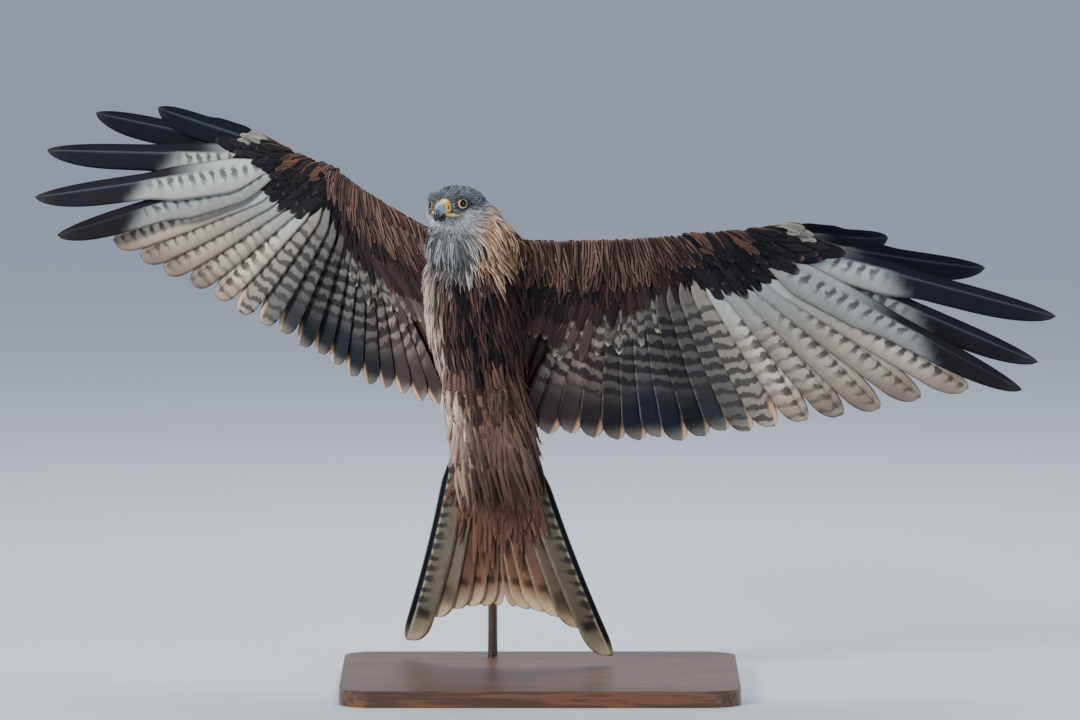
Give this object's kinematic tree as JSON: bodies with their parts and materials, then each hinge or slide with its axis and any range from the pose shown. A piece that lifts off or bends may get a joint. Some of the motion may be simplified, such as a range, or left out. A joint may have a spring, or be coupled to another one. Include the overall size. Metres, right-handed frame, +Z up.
{
  "type": "red kite bird",
  "caption": "Life-size model of a red kite bird gliding with spread wings and forked tail, held over a flat wooden base by a slanting steel rod.",
  "frame": {"origin": "centre of the drawn layout on the underside of the base, where the stand rests on the floor", "axes": "+Z up, +Y from the bird's belly towards its back, +X towards the bird's left wing"},
  "size_m": [1.2554, 0.5624, 0.6889],
  "materials": {
    "body_feathers": "matt rufous body feathers with dark shafts",
    "head_feathers": "matt pale grey head feathers with dark streaks",
    "wing_feathers": "matt brown and grey barred wing feathers",
    "finger_feathers": "satin black outer flight feathers",
    "tail_feathers": "matt rufous tail feathers with fine bars",
    "cere_skin": "satin yellow bare skin",
    "bill_horn": "polished dark horn",
    "foot_skin": "scaly yellow skin",
    "claw_horn": "polished black horn",
    "eye_glass": "wet amber iris with a black pupil",
    "rod_steel": "satin steel",
    "base_wood": "oiled dark wood"
  },
  "bodies": {
    "root": {"torso": "body_feathers", "neck": "head_feathers", "head": "head_feathers", "cere": "cere_skin", "bill_upper": "bill_horn", "bill_lower": "bill_horn", "eye_left": "eye_glass", "eye_right": "eye_glass", "tail": "tail_feathers", "wing_left_arm": "wing_feathers", "wing_left_hand": "finger_feathers", "alula_left": "finger_feathers", "wing_right_arm": "wing_feathers", "wing_right_hand": "finger_feathers", "alula_right": "finger_feathers", "leg_left": "body_feathers", "leg_right": "body_feathers", "foot_left": "foot_skin", "foot_right": "foot_skin", "claw_left_1": "claw_horn", "claw_left_2": "claw_horn", "claw_left_3": "claw_horn", "claw_left_4": "claw_horn", "claw_right_1": "claw_horn", "claw_right_2": "claw_horn", "claw_right_3": "claw_horn", "claw_right_4": "claw_horn", "stand_rod": "rod_steel", "stand_base": "base_wood"}
  },
  "joints": []
}
